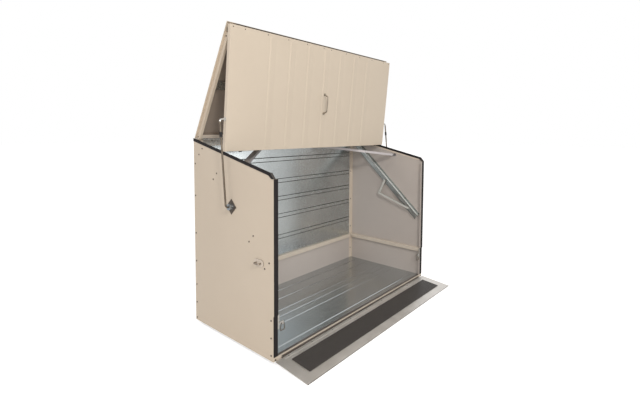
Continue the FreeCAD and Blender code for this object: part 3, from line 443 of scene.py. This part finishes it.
# painted shade on the underside, inside the side lips
paint(roof, 1, lambda c, n: n.dot(outward) < -0.5 and abs(c.x) < SHADE_HALF_WIDTH)
settle("roof_tray", roof, (CREAM, PAINTED_SHADE_BROWN), "roof_sheet")
for name in ("left_roof_channel", "right_roof_channel", "roof_front_rail"):
    worked(name, 0.8 * MM, (CREAM,))
worked("roof_cross_brace", 0.8 * MM, (ZINC,))
up_the_roof = roof_turn @ Vector((0, 1, 0))
rail = ease(start_from("roof_rear_rail"), 0.8 * MM)
# painted shade on the rail's upper face, towards the sheet
paint(rail, 1, lambda c, n: n.dot(up_the_roof) > 0.7)
settle("roof_rear_channel", rail, (LIGHT, PAINTED_SHADE_BROWN), "roof_rear_rail")

# Front panel
# One sheet pressed with seven shallow upright ribs and folded back on all four sides.
# It hangs from the roof's front edge on a long hinge and is powder coated cream.
# Each rib rises by 3 mm on a steep flank and falls away on a gentle one of 44 mm.
KNEE = Matrix.Translation((0, -6.997 * MM, 2115.058 * MM)) @ Matrix.Rotation(radians(5.4), 4, "X")
FACING = Matrix(((1, 0, 0, 0), (0, 0, -1, -28 * MM), (0, 1, 0, 0), (0, 0, 0, 1)))
RIB_PLACES = [195 * MM * step for step in range(-3, 4)]


def fold(shape, picks, step):
    """Draws out the free edges that a test picks, as the next side of a fold."""
    edges = [e for e in shape.edges if e.is_boundary and any(all(p(v.co) for v in e.verts) for p in picks)]
    drawn = bmesh.ops.extrude_edge_only(shape, edges=edges)["geom"]
    bmesh.ops.translate(shape, verts=[g for g in drawn if isinstance(g, bmesh.types.BMVert)], vec=step)


panel = pressed_sheet((-950 * MM, -834 * MM), (950 * MM, -9.4 * MM),
                      [(x - 30 * MM, x + 30 * MM, -820 * MM, -30 * MM) for x in RIB_PLACES],
                      6 * MM, 3 * MM, 38 * MM)
ease(panel, 1.5 * MM, 2, 3.5)
for side in (-1, 1):
    cut(panel, (side * 895 * MM, 0, 0), (1, 0, 0))
fold(panel, [lambda p: abs(p.x) > 949.9 * MM, lambda p: p.y > -9.5 * MM], (0, 0, -28 * MM))
fold(panel, [lambda p: p.y < -833.9 * MM and p.z > -1 * MM], (0, 0, -12 * MM))
fold(panel, [lambda p: p.y > -9.5 * MM and abs(p.x) < 896 * MM], (0, -22 * MM, 0))
ease(panel, 2.2 * MM, 3, 50)
thicken(panel, 1.5 * MM)
bmesh.ops.transform(panel, verts=panel.verts, matrix=KNEE @ FACING)
settle("front_panel_tray", panel, (CREAM,), "front_panel_sheet", sharp=60)

# Front panel's hinge and stiffeners
# The long hinge between roof and panel is dark steel, spot welded to both edges.
# Three flat stiffeners behind the panel and two rubber bumpers under it are riveted on.

# Oiled dark steel, half metal; also painted shade on the cranks' and links' edge faces and on the ramp's
# front face
DARK_STEEL_AND_SHADE = zinc_coat("dark_oiled_steel_and_painted_shade", "#4A433D", "#625A52", 0.4, 0.55, 3 * MM, 0.6)
worked("panel_hinge_leaf", 0.3 * MM, (DARK_STEEL_AND_SHADE,))
worked("roof_front_leaf", 0.3 * MM, (DARK_STEEL_AND_SHADE,))
worked("panel_stiffeners", 1.5 * MM, (CREAM,))
worked("panel_bumpers", 1.5 * MM, (SEAL,), 3)


# Handle
# A bow of steel bar bent to a shallow curve and welded to a round foot at each end.
# It is nickel plated with a satin finish and has darkened where hands hold it.

# Satin nickel, metal, a little brown
HANDLE = plated("satin_nickel_plate", "#8A8174", "#B0A698", 0.32)
worked("handle_bow", 0.8 * MM, (HANDLE,), 3)

# Stay rods
# Each rod is a bent round bar with its shaft through the wall, a plastic collar and a crank inside.
# The upper end is bright zinc and the lower end, outside the wall, is a darker brown zinc plate.

# Browned zinc plate, metal
BRONZED = plated("browned_zinc_plate", "#5F564B", "#857A6C", 0.3)
# Black moulded nylon, satin
COLLAR = rubber("black_nylon_collar", "#232122", "#302D2E", 0.4)
# Pale grey zinc flake coat on the cranks and links inside, dipped and baked, IOR 1.5
FLAKE = powder_coat("zinc_flake_coat", "#C6C5BE", "#DAD9D2", 0.35)
HUB = Vector((0, -18 * MM, 923 * MM))
ROD_TIP = Vector((0, 37.412 * MM, 1496.492 * MM))
ALONG_ROD = (ROD_TIP - HUB).normalized()
BROWN_TO = 458 * MM
COLLAR_FROM, COLLAR_TO = 457.5 * MM, 492.5 * MM


def up_the_rod(c):
    """How far up the rod from its pivot a point lies."""
    return (Vector((0, c.y, c.z)) - HUB).dot(ALONG_ROD)


for name, side in SIDES:
    rod = ease(start_from(name + "_stay_rod"), 0.5 * MM)

    def on_collar(c, n):
        far = up_the_rod(c)
        off = (Vector((c.x - side * 990 * MM, c.y, c.z)) - HUB - ALONG_ROD * far).length
        return COLLAR_FROM < far < COLLAR_TO and off > 6.3 * MM

    # the lower end outside the wall is painted the darker brown
    paint(rod, 1, lambda c, n: up_the_rod(c) < BROWN_TO and abs(c.x) > 946 * MM)
    paint(rod, 2, on_collar)
    # the crank inside the wall: coated faces, and edge faces painted dark as painted shade
    paint(rod, 3, lambda c, n: abs(c.x) < 944 * MM and abs(n.x) > 0.5)
    paint(rod, 4, lambda c, n: abs(c.x) < 944 * MM and abs(n.x) < 0.5)
    settle(name + "_stay_bar", rod, (PLATED, BRONZED, COLLAR, FLAKE, DARK_STEEL_AND_SHADE), name + "_stay_rod")
worked("rod_end_pins", 0.5 * MM, (PLATED,))

# Balance gear
# A flat link joins each crank to a block that slides in the channel against a gas strut.
# Links and blocks have the cranks' zinc flake coat; the links' edge faces are painted dark as painted shade.

# Black paint on the drawn cylinders, satin
GAS = rubber("black_cylinder_paint", "#1F1F20", "#2B2B2C", 0.3)
for name in ("left_link", "right_link"):
    link = ease(start_from(name), 0.5 * MM)
    # painted shade on the link's edge faces
    paint(link, 1, lambda c, n: abs(n.x) < 0.5)
    settle(name + "_bar", link, (FLAKE, DARK_STEEL_AND_SHADE), name)
for name in ("left_slider", "right_slider"):
    worked(name, 0.5 * MM, (FLAKE,))
worked("gas_cylinders", 0.6 * MM, (GAS,))


# Ramp
# An aluminium plate with a turned-down front edge slopes from the sill to the ground.
# It carries a ribbed rubber mat and folds up on its own long hinge, screwed to the plate.
def brushed(name, dark, light):
    """Mill-finish aluminium: fine rolling lines along the plate, dulled by feet."""
    material, place = new_material(name)
    # rolling lines 0.6 mm apart and some 300 mm long
    stretch = add_node(material, "ShaderNodeMapping", {"Scale": (3.0, 1700.0, 1700.0)},
                       {"Vector": (place, "Object")})
    lines = add_node(material, "ShaderNodeTexNoise", {"Scale": 1.0, "Detail": 3.0}, {"Vector": (stretch, 0)})
    # scuffs of about 110 mm
    scuff = add_node(material, "ShaderNodeTexNoise", {"Scale": 9.0, "Detail": 6.0},
                     {"Vector": (place, "Object")})
    both = add_node(material, "ShaderNodeMath", {"operation": "MULTIPLY_ADD", 1: 0.4},
                    {0: (lines, 0), 2: (scuff, 0)})
    tone = between(material, (both, 0), dark, light)
    rough = add_node(material, "ShaderNodeMapRange", {"To Min": 0.36, "To Max": 0.5}, {"Value": (scuff, 0)})
    return surface(material, tone, {"Metallic": 0.95}, {"Roughness": (rough, 0)})


# Rolled aluminium plate, metal, scuffed to a satin
ALUMINIUM = brushed("mill_finish_aluminium", "#C6C1BA", "#E6E2DD")
plate = start_from("ramp_plate")
ease(plate, 1.6 * MM, 3, pick=lambda e: all(v.co.y < -700 * MM for v in e.verts))
ease(plate, 0.5 * MM, 2, 60)
# painted shade on the front face of the turned-down edge
paint(plate, 1, lambda c, n: n.y < -0.75)
settle("ramp_folded_plate", plate, (ALUMINIUM, DARK_STEEL_AND_SHADE), "ramp_plate")
worked("ramp_hinge_base", 0.3 * MM, (DARK_STEEL_AND_SHADE,))
leaf = ease(start_from("ramp_hinge_leaf"), 0.3 * MM)
paint(leaf, 1, lambda c, n: (Vector((0, c.y + 432 * MM, c.z - 37 * MM))).length < 5.2 * MM)
settle("ramp_hinge_strip", leaf, (ALUMINIUM, DARK_STEEL_AND_SHADE), "ramp_hinge_leaf")

# Ramp mat
# A strip of ribbed rubber glued in the middle of the ramp, with ribs 5 mm apart along it.
# It is moulded in one piece and left matt, so that shoes and tyres grip.
RAMP = Matrix.Translation((0, -432 * MM, 37.0315 * MM)) @ Matrix.Rotation(radians(5.6), 4, "X")
# Black mat rubber greyed by dust, IOR 1.52
MAT = rubber("ribbed_mat_rubber", "#3F3B38", "#4E4A47", 0.34)
RIBS = 30
# in mm, in the ramp's own frame
MAT_FRONT, MAT_BACK, MAT_HALF = -211, -57, 853
PITCH = (MAT_BACK - MAT_FRONT) / RIBS
outline = [(MAT_FRONT, 0)]
for step in range(RIBS):
    at = MAT_FRONT + step * PITCH
    outline += [(at, 3.4), (at + 1, 5), (at + PITCH - 1, 5)]
outline += [(MAT_BACK, 3.4), (MAT_BACK, 0)]
mat = bmesh.new()
line = [mat.verts.new((-MAT_HALF * MM, y * MM, (z - 4) * MM)) for y, z in outline]
edges = [mat.edges.new(pair) for pair in zip(line, line[1:] + line[:1])]
face = bmesh.ops.contextual_create(mat, geom=edges)["faces"]
drawn = bmesh.ops.extrude_face_region(mat, geom=face)["geom"]
bmesh.ops.translate(mat, verts=[g for g in drawn if isinstance(g, bmesh.types.BMVert)],
                    vec=(2 * MAT_HALF * MM, 0, 0))
bmesh.ops.recalc_face_normals(mat, faces=mat.faces)
ease(mat, 0.3 * MM, 2, 40)
bmesh.ops.transform(mat, verts=mat.verts, matrix=RAMP)
settle("ramp_ribbed_mat", mat, (MAT,), "ramp_mat")

# Drop rings
# A ring bent from wire hangs in the lug of a pressed bracket behind each front return.
# Ring and bracket are zinc plated, and the bracket is welded to the return.
worked("left_catch_ring", 0.5 * MM, (BRONZED,))
worked("right_catch_ring", 0.5 * MM, (BRONZED,))
worked("catch_brackets", 0.8 * MM, (PLATED,))


# Screws, bolts and rivets
# Pan heads with a socket hold the walls, rails, channels and ramp; blind rivets hold the panel.
# Each is headed from wire, zinc plated, and dulled and browned by weather.
def turned(outline):
    """A mesh spun round Z from an outline of (radius, height) pairs in mm."""
    shape = bmesh.new()
    points = [shape.verts.new((r * MM, 0, z * MM)) for r, z in outline]
    edges = [shape.edges.new(pair) for pair in zip(points, points[1:])]
    bmesh.ops.spin(shape, geom=points + edges, cent=(0, 0, 0), axis=(0, 0, 1), angle=radians(360),
                   steps=20, use_merge=True)
    bmesh.ops.remove_doubles(shape, verts=shape.verts, dist=0.01 * MM)
    bmesh.ops.recalc_face_normals(shape, faces=shape.faces)
    mesh = bpy.data.meshes.new("head")
    shape.to_mesh(mesh)
    shape.free()
    return mesh


def islands(mesh):
    """The lowest and highest corner of each separate solid in a mesh."""
    shape = bmesh.new()
    shape.from_mesh(mesh)
    bmesh.ops.remove_doubles(shape, verts=shape.verts, dist=0.005 * MM)
    seen = set()
    for vert in shape.verts:
        if vert in seen:
            continue
        group, queue = [], [vert]
        seen.add(vert)
        while queue:
            here = queue.pop()
            group.append(here.co.copy())
            for edge in here.link_edges:
                other = edge.other_vert(here)
                if other not in seen:
                    seen.add(other)
                    queue.append(other)
        low = Vector(min(p[i] for p in group) for i in range(3))
        high = Vector(max(p[i] for p in group) for i in range(3))
        yield low, high
    shape.free()


def heads(label, name, head, rise, facing):
    """A head in place of each short cylinder of a CAD piece; facing gives its direction from its centre."""
    shape = bmesh.new()
    for low, high in islands(nodes[name].data):
        centre = (low + high) / 2
        way = facing(centre).normalized()
        count = len(shape.verts)
        shape.from_mesh(head)
        turn = way.to_track_quat("Z", "Y").to_matrix().to_4x4()
        shape.verts.ensure_lookup_table()
        bmesh.ops.transform(shape, verts=shape.verts[count:],
                            matrix=Matrix.Translation(centre - way * rise * MM / 2) @ turn)
    settle(label, shape, (DULL,), name, sharp=50)


# Weathered zinc plate, metal, brown-grey
DULL = plated("dull_zinc_fastener", "#544D46", "#6E675F", 0.42)
PAN_HEAD = turned([(0, 1.2), (1.6, 1.2), (1.8, 2.9), (3.2, 3.0),
                   (4.6, 2.6), (5.3, 1.8), (5.5, 0.8), (5.5, 0)])
RIVET_HEAD = turned([(0, 1.1), (1.0, 1.1), (1.2, 1.6), (2.4, 1.4), (3.5, 0.8), (4.0, 0)])
BOLT_HEAD = turned([(0, 4.0), (2.0, 3.9), (3.8, 3.2), (5.0, 1.9), (5.5, 0.5), (5.5, 0)])


def wall_way(c):
    """Outwards for the screws on the side walls, and forwards for the others."""
    return Vector((c.x, 0, 0)) if abs(c.x) > 945 * MM else Vector((0, -1, 0))


heads("wall_screw_heads", "wall_screws", PAN_HEAD, 3, wall_way)
heads("channel_screw_heads", "channel_screws", PAN_HEAD, 3, lambda c: Vector((-c.x, 0, 0)))
heads("roof_bolt_heads", "roof_bolts", BOLT_HEAD, 4, lambda c: Vector((c.x, 0, 0)))
heads("panel_rivet_heads", "panel_rivets", RIVET_HEAD, 1.6, lambda c: KNEE.to_3x3() @ Vector((0, -1, 0)))
heads("ramp_screw_heads", "ramp_screws", RIVET_HEAD, 1.5, lambda c: RAMP.to_3x3() @ Vector((0, 0, 1)))


# Studio
# A pale floor without a horizon line, one soft key lamp from the front left, two fills,
# and a faint lamp at the right front whose reflection lights the back wall's zinc.
def lamp(name, place, aim, size, power, tint):
    """A soft rectangular lamp of a size in metres and a power in watts, aimed at a point."""
    data = bpy.data.lights.new(name, "AREA")
    data.shape = "RECTANGLE"
    data.size, data.size_y = size
    data.energy = power
    data.color = tint
    obj = bpy.data.objects.new(name, data)
    direction = Vector(aim) - Vector(place)
    obj.matrix_world = Matrix.Translation(place) @ direction.to_track_quat("-Z", "Y").to_matrix().to_4x4()
    scene.collection.objects.link(obj)


lamp("key", (-3.0, -5.2, 4.4), (-0.3, 0, 0.9), (0.8, 0.8), 160, (1, 0.975, 0.93))
lamp("fill_left", (-4.0, 0.2, 2.6), (-0.9, 0.3, 1.2), (2.0, 2.0), 12, (1, 0.93, 0.96))
lamp("fill_front", (-3.7, -3.3, 1.9), (-0.4, 0, 0.9), (1.2, 1.2), 24, (1, 0.94, 0.93))
lamp("back_wall_glow", (2.0, -3.5, 1.0), (-0.7, 0.4, 1.1), (0.8, 1.4), 6.5, (1, 1, 1))

world = bpy.data.worlds.new("world")
scene.world = world
world.use_nodes = True
world.node_tree.nodes.clear()
path = add_node(world, "ShaderNodeLightPath")
room = add_node(world, "ShaderNodeBackground", {"Color": (1, 1, 1, 1), "Strength": 0.56})
mirror = add_node(world, "ShaderNodeBackground", {"Color": (1, 1, 1, 1), "Strength": 0.95})
white = add_node(world, "ShaderNodeBackground", {"Color": (1, 1, 1, 1), "Strength": 1.0})
lit = add_node(world, "ShaderNodeMixShader", {}, {0: (path, "Is Glossy Ray"), 1: (room, 0), 2: (mirror, 0)})
seen = add_node(world, "ShaderNodeMixShader", {}, {0: (path, "Is Camera Ray"), 1: (lit, 0), 2: (white, 0)})
add_node(world, "ShaderNodeOutputWorld", {}, {"Surface": (seen, 0)})

ground_mesh = bpy.data.meshes.new("studio_floor")
ground_shape = bmesh.new()
bmesh.ops.create_grid(ground_shape, x_segments=1, y_segments=1, size=40)
bmesh.ops.translate(ground_shape, verts=ground_shape.verts, vec=(0, 0, -0.5 * MM))
ground_shape.to_mesh(ground_mesh)
ground = bpy.data.objects.new("studio_floor", ground_mesh)
scene.collection.objects.link(ground)
pale, place = new_material("pale_floor_paint")
sight = add_node(pale, "ShaderNodeLightPath")
matt = add_node(pale, "ShaderNodeBsdfDiffuse", {"Color": colour("#F6F5F3")})
glow = add_node(pale, "ShaderNodeEmission", {"Color": (1, 1, 1, 1), "Strength": 0.62})
bright = add_node(pale, "ShaderNodeAddShader", {}, {0: (matt, 0), 1: (glow, 0)})
chosen = add_node(pale, "ShaderNodeMixShader", {},
                  {0: (sight, "Is Camera Ray"), 1: (matt, 0), 2: (bright, 0)})
add_node(pale, "ShaderNodeOutputMaterial", {}, {"Surface": (chosen, 0)})
ground_mesh.materials.append(pale)
